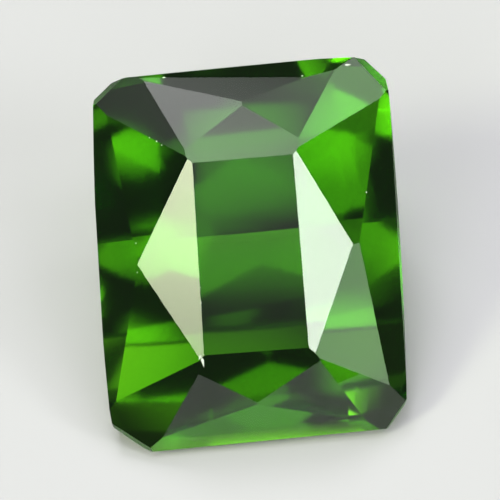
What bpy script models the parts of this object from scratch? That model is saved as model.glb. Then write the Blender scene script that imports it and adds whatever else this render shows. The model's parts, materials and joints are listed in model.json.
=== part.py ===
"""A cut tourmaline with trimmed corners and a scissor-cut crown, lying on one pavilion end.

The stone is made the way a cutter makes it. A block of rough is trimmed by one flat facet
after another until only the finished stone is left. Each facet is set by four figures:

* azimuth, the way it faces round the stone: 0 is its right side and 90 its head end,
* slope, its angle from the table: 0 for the table, 90 for an upright wall, and more than 90
  for the facets of the pavilion, which face down,
* reach, its distance from the stone's upright axis, measured at its level,
* level, the height at which its row starts.

While it is being cut, the stone's table lies in the plane Z = 0 and all sizes are in
millimetres. The finished stone is then laid down on the pavilion facet at its foot end.
"""

import math
from dataclasses import dataclass

import bmesh
import bpy
from mathutils import Matrix, Vector

# Driving dimensions in millimetres
LENGTH = 7.10
WIDTH = 5.68
TABLE_LENGTH = 3.66
TABLE_WIDTH = 1.94
CORNER_REACH = 4.06
CROWN_HEIGHT = 1.11
GIRDLE_THICKNESS = 0.17
ROUGH_SIZE = 20.0

# Slopes of the rows of facets, in degrees from the table
STAR_SLOPE = 24.0
SIDE_SCISSOR_SLOPE = 29.0
END_SCISSOR_SLOPE = 30.5
CORNER_SLOPE = 29.0
SIDE_BREAK_SLOPE = 40.0
END_BREAK_SLOPE = 42.0
WALL_SLOPE = 90.0

# The scissor facets cross in the middle of each side, so they turn a little from it
SIDE_SCISSOR_TURN = 5.5
END_SCISSOR_TURN = 8.4
SIDE_SCISSOR_OVERHANG = 0.35
END_SCISSOR_OVERHANG = 0.35

# Levels below the table at which the rows of facets start
TABLE_LEVEL = 0.0
CROWN_LEVEL = -CROWN_HEIGHT
GIRDLE_LEVEL = CROWN_LEVEL - GIRDLE_THICKNESS

# The pavilion's facets under each wall of the girdle, from the top down: the depth under the
# girdle at which each starts, and its slope in degrees from the table
END_STEP = 0.91
FLANK_STEP = 2.89
PAVILION = {
    "right": ((0.0, 79.9), (FLANK_STEP, 54.1)),
    "head": ((0.0, 71.4), (END_STEP, 40.1)),
    "left": ((0.0, 80.8), (FLANK_STEP, 44.5)),
    "foot": ((0.0, 41.9), (END_STEP, 39.1)),
    "head right": ((0.0, 68.6),),
    "head left": ((0.0, 72.6),),
    "foot left": ((0.0, 77.0),),
    "foot right": ((0.0, 73.2),),
}

# The four sides of the stone and its four corners, as azimuths
RIGHT, HEAD, LEFT, FOOT = 0.0, 90.0, 180.0, 270.0
HEAD_RIGHT, HEAD_LEFT, FOOT_LEFT, FOOT_RIGHT = 45.0, 130.0, 230.0, 318.0

NODE_NAME = "tourmaline"
MILLIMETRE = 0.001
CUT_TOLERANCE = 1e-6


@dataclass(frozen=True)
class Facet:
    """One flat face of the stone."""

    azimuth: float
    slope: float
    reach: float
    level: float

    @property
    def outward(self) -> Vector:
        """The way round the stone that the facet faces."""
        azimuth = math.radians(self.azimuth)
        return Vector((math.cos(azimuth), math.sin(azimuth), 0.0))

    @property
    def normal(self) -> Vector:
        """The facet's outward direction."""
        slope = math.radians(self.slope)
        return math.sin(slope) * self.outward + Vector((0.0, 0.0, math.cos(slope)))

    @property
    def point(self) -> Vector:
        """A point on the facet, at its own level."""
        return self.reach * self.outward + Vector((0.0, 0.0, self.level))

    def reach_at(self, level: float) -> float:
        """The facet's distance from the stone's axis at another level."""
        return self.reach - (level - self.level) / math.tan(math.radians(self.slope))


def table_and_stars() -> list[Facet]:
    """The table, and the star facet at each of its edges."""
    half_width = TABLE_WIDTH / 2
    half_length = TABLE_LENGTH / 2
    return [
        Facet(RIGHT, 0.0, 0.0, TABLE_LEVEL),
        Facet(RIGHT + 0.6, STAR_SLOPE, half_width + 0.035, TABLE_LEVEL),
        Facet(HEAD + 0.6, STAR_SLOPE, half_length - 0.020, TABLE_LEVEL),
        Facet(LEFT - 0.4, STAR_SLOPE, half_width - 0.030, TABLE_LEVEL),
        Facet(FOOT + 0.7, STAR_SLOPE, half_length + 0.015, TABLE_LEVEL),
    ]


def scissors() -> list[Facet]:
    """The pair of scissor facets on each side, each with its small errors of hand cutting."""
    side_reach = WIDTH / 2 + SIDE_SCISSOR_OVERHANG
    end_reach = LENGTH / 2 + END_SCISSOR_OVERHANG
    return [
        Facet(RIGHT - SIDE_SCISSOR_TURN + 1.3, SIDE_SCISSOR_SLOPE, side_reach, CROWN_LEVEL),
        Facet(RIGHT + SIDE_SCISSOR_TURN + 0.4, SIDE_SCISSOR_SLOPE - 0.2, side_reach + 0.015, CROWN_LEVEL),
        Facet(HEAD - END_SCISSOR_TURN - 0.1, END_SCISSOR_SLOPE + 0.1, end_reach + 0.015, CROWN_LEVEL),
        Facet(HEAD + END_SCISSOR_TURN + 0.5, END_SCISSOR_SLOPE - 0.6, end_reach + 0.015, CROWN_LEVEL),
        Facet(LEFT - SIDE_SCISSOR_TURN - 1.8, SIDE_SCISSOR_SLOPE + 0.7, side_reach - 0.080, CROWN_LEVEL),
        Facet(LEFT + SIDE_SCISSOR_TURN - 0.9, SIDE_SCISSOR_SLOPE - 0.9, side_reach + 0.010, CROWN_LEVEL),
        Facet(FOOT - END_SCISSOR_TURN + 0.4, END_SCISSOR_SLOPE + 0.5, end_reach, CROWN_LEVEL),
        Facet(FOOT + END_SCISSOR_TURN - 0.3, END_SCISSOR_SLOPE + 0.6, end_reach - 0.010, CROWN_LEVEL),
    ]


def breaks_and_corners() -> list[Facet]:
    """The break facets along the girdle, two of them at the head, and the four corner facets."""
    half_width = WIDTH / 2
    half_length = LENGTH / 2
    return [
        Facet(RIGHT - 0.2, SIDE_BREAK_SLOPE - 0.4, half_width + 0.005, CROWN_LEVEL),
        Facet(HEAD, END_BREAK_SLOPE - 0.8, half_length + 0.045, CROWN_LEVEL),
        Facet(HEAD - 0.5, END_BREAK_SLOPE + 3.0, half_length + 0.015, CROWN_LEVEL),
        Facet(LEFT - 2.2, SIDE_BREAK_SLOPE + 0.4, half_width - 0.060, CROWN_LEVEL),
        Facet(FOOT + 0.5, END_BREAK_SLOPE + 0.9, half_length - 0.010, CROWN_LEVEL),
        Facet(HEAD_RIGHT + 2.8, CORNER_SLOPE - 0.2, CORNER_REACH + 0.035, CROWN_LEVEL),
        Facet(HEAD_LEFT - 2.4, CORNER_SLOPE + 0.1, CORNER_REACH - 0.015, CROWN_LEVEL),
        Facet(FOOT_LEFT - 4.7, CORNER_SLOPE - 0.1, CORNER_REACH - 0.020, CROWN_LEVEL),
        Facet(FOOT_RIGHT - 4.5, CORNER_SLOPE, CORNER_REACH + 0.090, CROWN_LEVEL),
    ]


def girdle() -> dict[str, Facet]:
    """The girdle's eight walls, which spread towards the pavilion, most of all at the corners."""
    half_width = WIDTH / 2
    half_length = LENGTH / 2
    return {
        "right": Facet(RIGHT - 0.6, WALL_SLOPE - 16.0, half_width + 0.015, CROWN_LEVEL),
        "head": Facet(HEAD + 1.4, WALL_SLOPE - 4.0, half_length + 0.005, CROWN_LEVEL),
        "left": Facet(LEFT - 0.7, WALL_SLOPE - 0.5, half_width - 0.010, CROWN_LEVEL),
        "foot": Facet(FOOT + 1.5, WALL_SLOPE - 4.0, half_length - 0.010, CROWN_LEVEL),
        "head right": Facet(HEAD_RIGHT - 1.7, WALL_SLOPE - 40.0, CORNER_REACH + 0.015, CROWN_LEVEL),
        "head left": Facet(HEAD_LEFT, WALL_SLOPE - 26.0, CORNER_REACH - 0.015, CROWN_LEVEL),
        "foot left": Facet(FOOT_LEFT + 1.8, WALL_SLOPE - 20.0, CORNER_REACH + 0.020, CROWN_LEVEL),
        "foot right": Facet(FOOT_RIGHT + 3.1, WALL_SLOPE - 8.0, CORNER_REACH - 0.020, CROWN_LEVEL),
    }


def pavilion_side(side: str) -> list[Facet]:
    """The pavilion facets under one wall, each starting where the one above it ends."""
    above = girdle()[side]
    facets = []
    for depth, slope in PAVILION[side]:
        level = GIRDLE_LEVEL - depth
        above = Facet(above.azimuth, 180.0 - slope, above.reach_at(level), level)
        facets.append(above)
    return facets


def cut(stone: bmesh.types.BMesh, facet: Facet) -> None:
    """Grinds one facet onto the stone and closes the flat face that it leaves."""
    result = bmesh.ops.bisect_plane(
        stone,
        geom=stone.verts[:] + stone.edges[:] + stone.faces[:],
        dist=CUT_TOLERANCE,
        plane_co=facet.point,
        plane_no=facet.normal,
        clear_outer=True,
    )
    rim = [item for item in result["geom_cut"] if isinstance(item, bmesh.types.BMEdge)]
    bmesh.ops.contextual_create(stone, geom=rim)


def cut_stone() -> bmesh.types.BMesh:
    """The whole stone, cut from a block of rough, table up."""
    stone = bmesh.new()
    bmesh.ops.create_cube(stone, size=ROUGH_SIZE)
    crown = table_and_stars() + scissors() + breaks_and_corners()
    for facet in crown + list(girdle().values()):
        cut(stone, facet)
    for side in PAVILION:
        for facet in pavilion_side(side):
            cut(stone, facet)
    bmesh.ops.recalc_face_normals(stone, faces=stone.faces)
    return stone


def lying_on(facet: Facet) -> Matrix:
    """The turn that lays the stone down on a facet, with its table facing the front."""
    up = -facet.normal
    front = Vector((0.0, 0.0, 1.0))
    front = (front - front.dot(up) * up).normalized()
    back = -front
    right = back.cross(up)
    return Matrix((right, back, up)).to_4x4()


def lay_down(stone: bmesh.types.BMesh, facet: Facet) -> None:
    """Lays the stone down, stands it on the middle of the floor and scales it to metres."""
    bmesh.ops.transform(stone, matrix=lying_on(facet), verts=stone.verts)
    low = [min(vertex.co[axis] for vertex in stone.verts) for axis in range(3)]
    high = [max(vertex.co[axis] for vertex in stone.verts) for axis in range(3)]
    foot = Vector(((low[0] + high[0]) / 2, (low[1] + high[1]) / 2, low[2]))
    bmesh.ops.translate(stone, vec=-foot, verts=stone.verts)
    bmesh.ops.scale(stone, vec=Vector((MILLIMETRE,) * 3), verts=stone.verts)


def tourmaline_material() -> bpy.types.Material:
    """Clear green crystal with polished faces."""
    material = bpy.data.materials.new("tourmaline crystal")
    material.use_nodes = True
    shader = material.node_tree.nodes["Principled BSDF"]
    shader.inputs["Base Color"].default_value = (0.05, 0.30, 0.04, 1.0)
    shader.inputs["Roughness"].default_value = 0.02
    shader.inputs["Metallic"].default_value = 0.0
    shader.inputs["IOR"].default_value = 1.63
    shader.inputs["Transmission Weight"].default_value = 1.0
    return material


def clear_scene() -> None:
    """Removes every object that is already in the scene."""
    for item in list(bpy.data.objects):
        bpy.data.objects.remove(item, do_unlink=True)


def main() -> None:
    """Cuts the stone, lays it down and puts it in the scene."""
    clear_scene()
    stone = cut_stone()
    lay_down(stone, pavilion_side("foot")[-1])
    mesh = bpy.data.meshes.new(NODE_NAME)
    stone.to_mesh(mesh)
    stone.free()
    mesh.materials.append(tourmaline_material())
    bpy.context.scene.collection.objects.link(bpy.data.objects.new(NODE_NAME, mesh))


main()
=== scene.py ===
"""The looks of a cut green tourmaline that lies on a pale table.

The stone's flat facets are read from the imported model. The script cuts the same stone again from
a block, because a clear crystal needs one closed surface, and bows its pavilion facets a little,
the way cutting by hand leaves them. Lengths are in millimetres where nothing else is said.
"""

import json
import logging
import math
from dataclasses import dataclass, field
from enum import Enum

import bmesh
import bpy
from mathutils import Matrix, Vector

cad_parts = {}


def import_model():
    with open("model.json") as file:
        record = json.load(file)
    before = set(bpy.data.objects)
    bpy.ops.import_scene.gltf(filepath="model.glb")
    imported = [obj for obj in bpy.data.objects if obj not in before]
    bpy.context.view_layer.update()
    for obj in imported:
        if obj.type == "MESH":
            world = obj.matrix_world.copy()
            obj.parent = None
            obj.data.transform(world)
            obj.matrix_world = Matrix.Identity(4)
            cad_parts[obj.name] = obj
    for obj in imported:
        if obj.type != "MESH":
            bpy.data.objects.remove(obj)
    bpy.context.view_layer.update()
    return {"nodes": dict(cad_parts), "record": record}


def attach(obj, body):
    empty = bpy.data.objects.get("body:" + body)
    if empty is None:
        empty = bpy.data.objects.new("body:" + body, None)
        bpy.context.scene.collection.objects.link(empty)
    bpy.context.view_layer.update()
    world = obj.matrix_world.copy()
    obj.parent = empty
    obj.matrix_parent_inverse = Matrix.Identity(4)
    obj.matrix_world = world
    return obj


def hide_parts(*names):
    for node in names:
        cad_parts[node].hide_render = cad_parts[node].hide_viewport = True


NODE = "tourmaline"
POLISH = "polish"
MILLIMETRE = 0.001
LOG = logging.getLogger("tourmaline")

# The stone's right side is turned this far from the frame's X, round the table, in degrees.
STONE_TWIST = -1.5
# Degrees from the table: the crown's facets tilt less than the first, the girdle's less than the second.
CROWN_TILT = 47.5
GIRDLE_TILT = 95.0
# A facet within this many degrees of the stone's side or end belongs to it, and else to a corner.
SIDE_SPREAD = 20.0


class Zone(Enum):
    """The three zones of a cut stone."""

    CROWN = "crown"
    GIRDLE = "girdle"
    PAVILION = "pavilion"


class Side(Enum):
    """Where round the stone a pavilion facet lies."""

    FLANK = "flank"
    END = "end"
    CORNER = "corner"


@dataclass(frozen=True)
class StoneAxes:
    """The stone's own directions: out of its table, to its right and to its head end.

    Attributes:
        middle: The middle of the table, in metres.
        out: The way the table faces.
        right: The way the stone's right side faces.
    """

    middle: Vector
    out: Vector
    right: Vector

    @property
    def head(self) -> Vector:
        """The way the stone's head end faces."""
        return self.out.cross(self.right)

    def direction(self, tilt: float, turn: float) -> Vector:
        """A direction seen from the stone.

        Args:
            tilt: Its angle from the way the table faces, in degrees.
            turn: Its angle round the table, from the stone's right side to its head, in degrees.

        Returns:
            The direction in the model's frame.
        """
        side = math.cos(math.radians(turn)) * self.right + math.sin(math.radians(turn)) * self.head
        return math.cos(math.radians(tilt)) * self.out + math.sin(math.radians(tilt)) * side

    def place(self, right: float, head: float, out: float = 0.0) -> Vector:
        """A point given by its distances from the middle of the table.

        Args:
            right: Distance to the stone's right, in millimetres.
            head: Distance to its head end, in millimetres.
            out: Distance out of the table, in millimetres.

        Returns:
            The point in the model's frame, in metres.
        """
        offset = right * self.right + head * self.head + out * self.out
        return self.middle + MILLIMETRE * offset

    @classmethod
    def of_record(cls, record: dict, twist: float) -> "StoneAxes":
        """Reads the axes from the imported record.

        Args:
            record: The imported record, whose mount "table" gives the table's middle and direction.
            twist: Turn of the stone's right side from the frame's X, round the table, in degrees.

        Returns:
            The stone's axes.
        """
        table = next(mount for mount in record["mounts"] if mount["name"] == "table")
        out = Vector(table["axis"]).normalized()
        across = Vector((1.0, 0.0, 0.0))
        across = (across - across.dot(out) * out).normalized()
        right = Matrix.Rotation(math.radians(twist), 3, out) @ across
        return cls(Vector(table["pos_m"]), out, right)


def zone_of(normal: Vector, axes: StoneAxes) -> Zone:
    """The zone of the stone that a face belongs to.

    Args:
        normal: The way the face looks.
        axes: The stone's axes.

    Returns:
        The zone, told by the face's angle from the table.
    """
    tilt = math.degrees(normal.angle(axes.out))
    if tilt < CROWN_TILT:
        return Zone.CROWN
    return Zone.GIRDLE if tilt < GIRDLE_TILT else Zone.PAVILION


@dataclass(frozen=True)
class Facet:
    """One flat facet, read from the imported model.

    Attributes:
        normal: The way it faces.
        middle: Its middle, in metres.
        corners: Its corners, in metres.
    """

    normal: Vector
    middle: Vector
    corners: tuple[Vector, ...]

    def side(self, axes: StoneAxes) -> Side:
        """Where round the stone the facet lies.

        Args:
            axes: The stone's axes.

        Returns:
            The side, told by the way the facet faces.
        """
        turn = math.degrees(math.atan2(self.normal.dot(axes.head), self.normal.dot(axes.right))) % 180.0
        if min(turn, 180.0 - turn) < SIDE_SPREAD:
            return Side.FLANK
        return Side.END if abs(turn - 90.0) < SIDE_SPREAD else Side.CORNER


@dataclass(frozen=True)
class Bow:
    """How a facet bulges: the change of its direction along it and down its slope.

    Attributes:
        along: Change of direction along the girdle, in radians per millimetre.
        down: Change of direction down the slope, in radians per millimetre.
        strips_along: Narrow flats that make the bulge along the girdle.
        strips_down: Narrow flats that make the bulge down the slope.
    """

    along: float
    down: float
    strips_along: int
    strips_down: int


@dataclass(frozen=True)
class Chip:
    """A small chip or scratch in the crown.

    Attributes:
        right: Its distance to the stone's right of the table's middle, in millimetres.
        head: Its distance towards the head end, in millimetres.
        length: Its length, in millimetres.
        width: Its width, in millimetres.
        turn: The way it runs, from the stone's right side to its head, in degrees.
    """

    right: float
    head: float
    length: float = 0.03
    width: float = 0.03
    turn: float = 90.0

    def add_to(self, mesh: bmesh.types.BMesh, axes: StoneAxes, out: float, share: float) -> None:
        """Adds a pointed splinter of the chip's shape to a mesh.

        Args:
            mesh: The mesh.
            axes: The stone's axes.
            out: The height of the crown there from the table's plane, in millimetres.
            share: The splinter's size as a share of the chip's.
        """
        along = axes.direction(90.0, self.turn)
        across = axes.direction(90.0, self.turn + 90.0)
        middle = axes.place(self.right, self.head, out)
        long = share * self.length / 2 * MILLIMETRE * along
        wide = share * self.width / 2 * MILLIMETRE * across
        deep = share * self.width / 2 * MILLIMETRE * axes.out
        ring = [mesh.verts.new(middle + side) for side in (long, wide, -long, -wide)]
        low = mesh.verts.new(middle - deep)
        high = mesh.verts.new(middle + deep)
        for one, other in zip(ring, ring[1:] + ring[:1]):
            mesh.faces.new((one, other, high))
            mesh.faces.new((other, one, low))


@dataclass(frozen=True)
class CrystalFinish:
    """Clear green crystal: polished outside, with green absorbed least inside.

    Attributes:
        ior: Index of refraction of tourmaline.
        crown: Roughness of the polished crown.
        girdle: Roughness of the girdle, which is only ground, and of the chips' steep walls.
        pavilion: Roughness of the pavilion, whose polish is not as fine as the crown's.
        tint: The colour that light takes on as it passes through.
        density: How strongly it takes that colour on, per metre.
    """

    ior: float = 1.63
    crown: float = 0.0
    girdle: float = 0.5
    pavilion: float = 0.05
    tint: tuple[float, float, float] = (0.50, 0.74, 0.01)
    density: float = 870.0

    def roughness(self, zone: Zone) -> float:
        """The roughness of a zone of the stone."""
        return {Zone.CROWN: self.crown, Zone.GIRDLE: self.girdle, Zone.PAVILION: self.pavilion}[zone]

    def material(self) -> bpy.types.Material:
        """Makes the crystal's material, which reads its roughness from each face.

        Returns:
            A material with transmission and plain absorption.
        """
        made = bpy.data.materials.new("green tourmaline crystal")
        made.use_nodes = True
        nodes = made.node_tree.nodes
        shader = nodes["Principled BSDF"]
        shader.inputs["Base Color"].default_value = (1.0, 1.0, 1.0, 1.0)
        shader.inputs["IOR"].default_value = self.ior
        shader.inputs["Transmission Weight"].default_value = 1.0
        inside = nodes.new("ShaderNodeVolumeAbsorption")
        inside.inputs["Color"].default_value = (*self.tint, 1.0)
        inside.inputs["Density"].default_value = self.density
        polish = nodes.new("ShaderNodeAttribute")
        polish.attribute_name = POLISH
        made.node_tree.links.new(inside.outputs["Volume"], nodes["Material Output"].inputs["Volume"])
        made.node_tree.links.new(polish.outputs["Fac"], shader.inputs["Roughness"])
        return made


@dataclass(frozen=True)
class PlainFinish:
    """A finish that light doesn't pass through.

    Attributes:
        name: What its material is called.
        colour: Its colour.
        roughness: How matt it is.
        shine: How strongly it mirrors: 0 not at all, 0.5 as most solids do.
    """

    name: str
    colour: tuple[float, float, float]
    roughness: float
    shine: float = 0.5

    def material(self) -> bpy.types.Material:
        """Makes the finish's material.

        Returns:
            The material.
        """
        made = bpy.data.materials.new(self.name)
        made.use_nodes = True
        shader = made.node_tree.nodes["Principled BSDF"]
        shader.inputs["Base Color"].default_value = (*self.colour, 1.0)
        shader.inputs["Roughness"].default_value = self.roughness
        shader.inputs["Specular IOR Level"].default_value = self.shine
        return made


CRUSHED_CRYSTAL = PlainFinish("crushed crystal", (0.80, 0.88, 0.76), roughness=0.6)
PALE_TABLE_TOP = PlainFinish("pale table top", (0.53, 0.52, 0.55), roughness=0.9, shine=0.0)


@dataclass
class CutStone:
    """The cut stone: one closed piece of crystal, with crushed crystal in its chips.

    Attributes:
        block: Width of the block that it is cut from, in millimetres.
        weld: Corners nearer than this to each other are one corner, in millimetres.
        same_plane: Faces that differ by less than this are one facet, in degrees.
        cut_tolerance: A corner nearer than this to a cut lies on it, in metres.
        sharp_edge: Edges flatter than this are shaded smooth, in degrees.
        flank_bow: The bow of the pavilion facets at the stone's sides.
        end_bow: The bow of those at its ends.
        corner_bow: The bow of those at its corners, which are flat.
        finish: The crystal.
        bruise: The crushed crystal.
        crumb_share: Size of a crumb of crushed crystal, as a share of its chip's.
        chips: The chips.
    """

    block: float = 20.0
    weld: float = 0.001
    same_plane: float = 0.02
    cut_tolerance: float = 1e-9
    sharp_edge: float = 2.5
    flank_bow: Bow = Bow(0.02, 0.006, 20, 4)
    end_bow: Bow = Bow(0.026, 0.013, 20, 10)
    corner_bow: Bow = Bow(0.0, 0.0, 1, 1)
    finish: CrystalFinish = CrystalFinish()
    bruise: PlainFinish = CRUSHED_CRYSTAL
    crumb_share: float = 0.8
    chips: tuple[Chip, ...] = (
        # At the table's left corner at the foot.
        Chip(-0.99, -1.93, 0.34, 0.07, 98.0),
        Chip(-1.03, -1.86, 0.16, 0.05, 60.0),
        # Along the table's left edge and its right edge.
        Chip(-0.93, -0.56),
        Chip(-0.94, -0.84, 0.06),
        Chip(-0.94, -0.97),
        Chip(-0.92, 1.20),
        Chip(1.03, 0.10, 0.05),
        Chip(1.02, -0.75, 0.09),
        Chip(1.02, -1.15),
        # On the crown's flanks.
        Chip(2.32, 1.01, 0.04, 0.04),
        Chip(-2.09, 0.36),
        Chip(-2.10, -0.19),
        Chip(-1.69, 2.33),
        Chip(-1.56, 2.25, 0.04, 0.04),
        Chip(-1.47, 2.17),
        # Along the edge at the head.
        Chip(-1.34, 3.45, 0.09, 0.04, 0.0),
        Chip(1.27, 3.29, 0.05, 0.05),
        Chip(2.13, 3.44, 0.22, 0.06, 0.0),
    )

    def facets(self, node: bpy.types.Object) -> list[Facet]:
        """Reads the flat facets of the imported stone.

        Args:
            node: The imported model's object.

        Returns:
            One entry for each flat facet.
        """
        stone = bmesh.new()
        stone.from_mesh(node.data)
        bmesh.ops.remove_doubles(stone, verts=stone.verts, dist=self.weld * MILLIMETRE)
        bmesh.ops.dissolve_limit(
            stone, angle_limit=math.radians(self.same_plane), verts=stone.verts, edges=stone.edges
        )
        found = [
            Facet(
                face.normal.copy(),
                face.calc_center_median_weighted(),
                tuple(vertex.co.copy() for vertex in face.verts),
            )
            for face in stone.faces
        ]
        stone.free()
        return found

    def bow_of(self, facet: Facet, axes: StoneAxes) -> Bow:
        """The bow of a pavilion facet.

        Args:
            facet: The facet.
            axes: The stone's axes.

        Returns:
            The bow of the side where the facet lies.
        """
        return {
            Side.FLANK: self.flank_bow,
            Side.END: self.end_bow,
            Side.CORNER: self.corner_bow,
        }[facet.side(axes)]

    def cut(self, stone: bmesh.types.BMesh, point: Vector, normal: Vector) -> None:
        """Grinds one flat onto the stone and closes the face that it leaves.

        Args:
            stone: The stone's mesh.
            point: A point on the flat.
            normal: The way the flat faces.
        """
        result = bmesh.ops.bisect_plane(
            stone,
            geom=stone.verts[:] + stone.edges[:] + stone.faces[:],
            dist=self.cut_tolerance,
            plane_co=point,
            plane_no=normal,
            clear_outer=True,
        )
        rim = [item for item in result["geom_cut"] if isinstance(item, bmesh.types.BMEdge)]
        if len(rim) > 2:
            bmesh.ops.contextual_create(stone, geom=rim)

    def cut_bowed(self, stone: bmesh.types.BMesh, facet: Facet, axes: StoneAxes) -> None:
        """Grinds a bowed facet onto the stone, as a fan of narrow flats.

        Args:
            stone: The stone's mesh.
            facet: The flat facet that the bow touches in its middle.
            axes: The stone's axes.
        """
        bow = self.bow_of(facet, axes)
        along = axes.out.cross(facet.normal).normalized()
        down = facet.normal.cross(along)
        reach_along = [(corner - facet.middle).dot(along) / MILLIMETRE for corner in facet.corners]
        reach_down = [(corner - facet.middle).dot(down) / MILLIMETRE for corner in facet.corners]
        for row in range(bow.strips_down):
            low = min(reach_down) + (max(reach_down) - min(reach_down)) * (row + 0.5) / bow.strips_down
            for strip in range(bow.strips_along):
                share = (strip + 0.5) / bow.strips_along
                wide = min(reach_along) + (max(reach_along) - min(reach_along)) * share
                drop = (bow.along * wide**2 + bow.down * low**2) / 2
                offset = wide * along + low * down - drop * facet.normal
                normal = facet.normal + bow.along * wide * along + bow.down * low * down
                self.cut(stone, facet.middle + MILLIMETRE * offset, normal.normalized())

    def splinters(self, name: str, facets: list[Facet], axes: StoneAxes, share: float) -> bpy.types.Object:
        """Makes a splinter at each chip, at the height of the crown there.

        Args:
            name: What the splinters are called.
            facets: The flat facets of the stone.
            axes: The stone's axes.
            share: The splinters' size as a share of the chips'.

        Returns:
            The splinters as one object.
        """
        mesh = bmesh.new()
        crown = [facet for facet in facets if zone_of(facet.normal, axes) is Zone.CROWN]
        for chip in self.chips:
            start = axes.place(chip.right, chip.head)
            drops = [(facet.middle - start).dot(facet.normal) / facet.normal.dot(axes.out) for facet in crown]
            chip.add_to(mesh, axes, min(drops) / MILLIMETRE, share)
        bmesh.ops.recalc_face_normals(mesh, faces=mesh.faces)
        made = bpy.data.meshes.new(name)
        mesh.to_mesh(made)
        mesh.free()
        item = bpy.data.objects.new(name, made)
        bpy.context.scene.collection.objects.link(item)
        return item

    def chip(self, piece: bpy.types.Object, hollows: bpy.types.Object) -> None:
        """Breaks the chips out of the stone.

        Args:
            piece: The stone.
            hollows: The hollows of the chips, removed afterwards.
        """
        taken = piece.modifiers.new("chips", "BOOLEAN")
        taken.operation = "DIFFERENCE"
        taken.solver = "EXACT"
        taken.object = hollows
        seen = piece.evaluated_get(bpy.context.evaluated_depsgraph_get())
        chipped = bpy.data.meshes.new_from_object(seen)
        piece.modifiers.clear()
        piece.data = chipped
        bpy.data.objects.remove(hollows, do_unlink=True)

    def polish(self, mesh: bpy.types.Mesh, axes: StoneAxes) -> None:
        """Gives the stone its material, and each face the roughness of its zone.

        Args:
            mesh: The stone's mesh.
            axes: The stone's axes.
        """
        mesh.materials.append(self.finish.material())
        roughness = mesh.attributes.new(POLISH, "FLOAT", "FACE")
        for face, item in zip(mesh.polygons, roughness.data):
            item.value = self.finish.roughness(zone_of(face.normal, axes))

    def grind(self, facets: list[Facet], axes: StoneAxes) -> bpy.types.Object:
        """Grinds the stone out of a block: every facet flat, and then the pavilion's bows.

        Args:
            facets: The flat facets.
            axes: The stone's axes.

        Returns:
            The stone as one closed piece, with no chips yet.
        """
        stone = bmesh.new()
        bmesh.ops.create_cube(stone, size=self.block * MILLIMETRE)
        for facet in facets:
            self.cut(stone, facet.middle, facet.normal)
        for facet in facets:
            if zone_of(facet.normal, axes) is Zone.PAVILION:
                self.cut_bowed(stone, facet, axes)
        bmesh.ops.recalc_face_normals(stone, faces=stone.faces)
        mesh = bpy.data.meshes.new("cut_stone")
        stone.to_mesh(mesh)
        stone.free()
        piece = bpy.data.objects.new("cut_stone", mesh)
        bpy.context.scene.collection.objects.link(piece)
        return piece

    def build(self, node: bpy.types.Object, axes: StoneAxes) -> tuple[bpy.types.Object, ...]:
        """Cuts the stone, chips it and dresses it.

        Args:
            node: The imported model's object, which gives the flat facets.
            axes: The stone's axes.

        Returns:
            The stone, and the crumbs of crushed crystal in its chips.
        """
        facets = self.facets(node)
        piece = self.grind(facets, axes)
        self.chip(piece, self.splinters("hollows", facets, axes, 1.0))
        piece.data.shade_smooth()
        piece.data.set_sharp_from_angle(angle=math.radians(self.sharp_edge))
        self.polish(piece.data, axes)
        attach(piece, "root")
        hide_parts(NODE)
        crumbs = self.splinters("bruised_crumbs", facets, axes, self.crumb_share)
        crumbs.data.materials.append(self.bruise.material())
        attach(crumbs, "root")
        return piece, crumbs


@dataclass(frozen=True)
class SoftLight:
    """A round soft light with no hard edge, far from the stone.

    Attributes:
        tilt: Its angle from the way the table faces, in degrees.
        turn: Its angle round the table, from the stone's right side to its head, in degrees.
        reach: The angle from its middle to where it fades out, in degrees.
        glow: How bright its middle is.
        colour: Its colour.
    """

    tilt: float
    turn: float
    reach: float
    glow: float
    colour: tuple[float, float, float] = (1.0, 1.0, 1.0)


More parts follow.
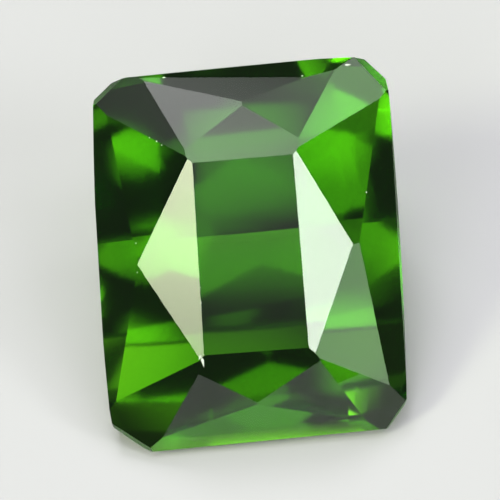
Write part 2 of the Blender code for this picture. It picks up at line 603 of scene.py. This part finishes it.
@dataclass
class LightTent:
    """A tent of dim white cloth with soft lights behind it.

    Attributes:
        dim: How bright the cloth is between the lights.
        lights: The soft lights.
    """

    dim: float = 0.08
    lights: tuple[SoftLight, ...] = (
        # The star facets mirror these: the left one, the right one and the one at the head.
        SoftLight(47.0, 169.0, 10.5, 26.0, (0.9, 1.0, 0.66)),
        SoftLight(46.0, 1.0, 10.5, 13.5, (0.95, 1.0, 0.93)),
        SoftLight(40.0, 97.0, 12.5, 8.5, (0.93, 1.0, 0.9)),
        # The scissor and break facets at the head mirror one or both of these.
        SoftLight(72.5, 98.0, 15.0, 9.0),
        SoftLight(66.0, 84.0, 20.0, 1.4),
        # The corner facets at the head mirror these, the right one first.
        SoftLight(57.0, 57.0, 14.0, 3.0),
        SoftLight(58.0, 119.0, 10.0, 1.2),
        # The right side's scissor facet towards the foot mirrors the first, and the table the second.
        SoftLight(60.0, 350.0, 9.0, 2.6),
        SoftLight(2.0, 90.0, 3.0, 0.65),
        # No facet mirrors the others: they shine in and light the green patches inside the stone.
        SoftLight(31.0, 54.0, 14.0, 3.2),
        SoftLight(25.0, 92.0, 20.0, 1.9),
        SoftLight(39.0, 150.0, 7.0, 1.4),
        SoftLight(27.0, 155.0, 22.0, 1.2),
        SoftLight(40.0, 166.0, 8.0, 1.6),
        SoftLight(24.0, 203.0, 12.0, 4.6),
        SoftLight(35.0, 228.0, 14.0, 2.4),
        SoftLight(18.0, 266.0, 10.0, 1.9),
        SoftLight(30.0, 290.0, 12.0, 1.3),
        SoftLight(41.0, 307.0, 12.0, 5.0),
        SoftLight(26.0, 345.0, 9.0, 4.4),
        SoftLight(42.0, 34.0, 10.0, 2.0),
    )

    def add_light(
        self, tree: bpy.types.NodeTree, light: SoftLight, axes: StoneAxes, before: bpy.types.NodeSocket
    ) -> bpy.types.NodeSocket:
        """Adds one light to what the tent shows.

        Args:
            tree: The tent's nodes.
            light: The light.
            axes: The stone's axes.
            before: The tent with the lights that are already up.

        Returns:
            The tent with this light as well.
        """
        away = tree.nodes["Texture Coordinate"].outputs["Generated"]
        facing = tree.nodes.new("ShaderNodeVectorMath")
        facing.operation = "DOT_PRODUCT"
        facing.inputs[1].default_value = axes.direction(light.tilt, light.turn)
        fade = tree.nodes.new("ShaderNodeMapRange")
        fade.interpolation_type = "SMOOTHSTEP"
        fade.inputs["From Min"].default_value = math.cos(math.radians(light.reach))
        fade.inputs["From Max"].default_value = 1.0
        tint = tree.nodes.new("ShaderNodeVectorMath")
        tint.operation = "SCALE"
        tint.inputs[0].default_value = [light.glow * part for part in light.colour]
        total = tree.nodes.new("ShaderNodeVectorMath")
        total.operation = "ADD"
        tree.links.new(away, facing.inputs[0])
        tree.links.new(facing.outputs["Value"], fade.inputs["Value"])
        tree.links.new(fade.outputs["Result"], tint.inputs["Scale"])
        tree.links.new(before, total.inputs[0])
        tree.links.new(tint.outputs["Vector"], total.inputs[1])
        return total.outputs["Vector"]

    def build(self, axes: StoneAxes) -> bpy.types.World:
        """Puts the tent up round the stone.

        Args:
            axes: The stone's axes.

        Returns:
            The world that holds the tent.
        """
        world = bpy.data.worlds.new("light tent")
        world.use_nodes = True
        tree = world.node_tree
        tree.nodes.new("ShaderNodeTexCoord")
        cloth = tree.nodes.new("ShaderNodeRGB")
        cloth.outputs["Color"].default_value = (self.dim, self.dim, self.dim, 1.0)
        shown = cloth.outputs["Color"]
        for light in self.lights:
            shown = self.add_light(tree, light, axes, shown)
        tree.links.new(shown, tree.nodes["Background"].inputs["Color"])
        bpy.context.scene.world = world
        return world


@dataclass
class Studio:
    """The pale table top, the soft lights and the camera.

    Attributes:
        floor_width: Width of the table top.
        floor_gap: How far it lies under the stone's lowest facet, so that they don't coincide.
        camera_away: Distance of the camera from the stone's table.
        view_width: Width that the camera sees, at view_depth under the stone's table.
        view_depth: Depth at which view_width is measured.
        view_right: How far the camera stands to the right of the table's middle.
        view_head: How far it stands towards the head end.
        view_roll: Turn of the camera from the head end towards the stone's right, in degrees.
        sensor_width: Width of the camera's sensor.
        clip_start: Where the camera begins to see, in metres.
        clip_end: Where it stops, in metres.
        bounces: How often light may bounce inside the stone.
        top: The table top's finish.
        tent: The light tent.
    """

    floor_width: float = 800.0
    floor_gap: float = 0.01
    camera_away: float = 180.0
    view_width: float = 9.434
    view_depth: float = 0.5
    view_right: float = 0.05
    view_head: float = 0.08
    view_roll: float = 4.1
    sensor_width: float = 36.0
    clip_start: float = 0.01
    clip_end: float = 2.0
    bounces: int = 24
    top: PlainFinish = PALE_TABLE_TOP
    tent: LightTent = field(default_factory=LightTent)

    def lay_floor(self) -> bpy.types.Object:
        """Lays the table top under the stone.

        Returns:
            The table top.
        """
        half = self.floor_width / 2 * MILLIMETRE
        mesh = bpy.data.meshes.new("table_top")
        low = -self.floor_gap * MILLIMETRE
        corners = [(-half, -half, low), (half, -half, low), (half, half, low), (-half, half, low)]
        mesh.from_pydata(corners, [], [(0, 1, 2, 3)])
        mesh.materials.append(self.top.material())
        floor = bpy.data.objects.new("table_top", mesh)
        bpy.context.scene.collection.objects.link(floor)
        return floor

    def aim_camera(self, axes: StoneAxes) -> bpy.types.Object:
        """Puts the camera straight above the stone's table.

        Args:
            axes: The stone's axes.

        Returns:
            The camera.
        """
        camera = bpy.data.cameras.new("camera")
        camera.sensor_width = self.sensor_width
        camera.lens = self.sensor_width * (self.camera_away + self.view_depth) / self.view_width
        camera.clip_start = self.clip_start
        camera.clip_end = self.clip_end
        item = bpy.data.objects.new("camera", camera)
        up = axes.direction(90.0, 90.0 - self.view_roll)
        right = up.cross(axes.out)
        item.matrix_world = Matrix.Translation(
            axes.place(self.view_right, self.view_head, self.camera_away)
        ) @ Matrix((right, up, axes.out)).transposed().to_4x4()
        bpy.context.scene.collection.objects.link(item)
        bpy.context.scene.camera = item
        return item

    def set_picture(self) -> None:
        """Shows colours as they are and lets light bounce often enough inside the stone."""
        scene = bpy.context.scene
        scene.view_settings.view_transform = "Standard"
        scene.cycles.max_bounces = self.bounces
        scene.cycles.glossy_bounces = self.bounces
        scene.cycles.transmission_bounces = self.bounces


def main() -> None:
    """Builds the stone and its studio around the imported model, and reports each piece."""
    logging.basicConfig(level=logging.INFO, format="%(name)s: %(message)s")
    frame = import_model()
    axes = StoneAxes.of_record(frame["record"], STONE_TWIST)
    studio = Studio()
    camera = studio.aim_camera(axes)
    LOG.info("%s set above the stone's table", camera.name)
    for piece in CutStone().build(frame["nodes"][NODE], axes):
        LOG.info("%s made with %d faces", piece.name, len(piece.data.polygons))
    floor = studio.lay_floor()
    LOG.info("%s laid under the stone", floor.name)
    world = studio.tent.build(axes)
    LOG.info("%s put up with %d soft lights", world.name, len(studio.tent.lights))
    studio.set_picture()


if __name__ == "__main__":
    main()
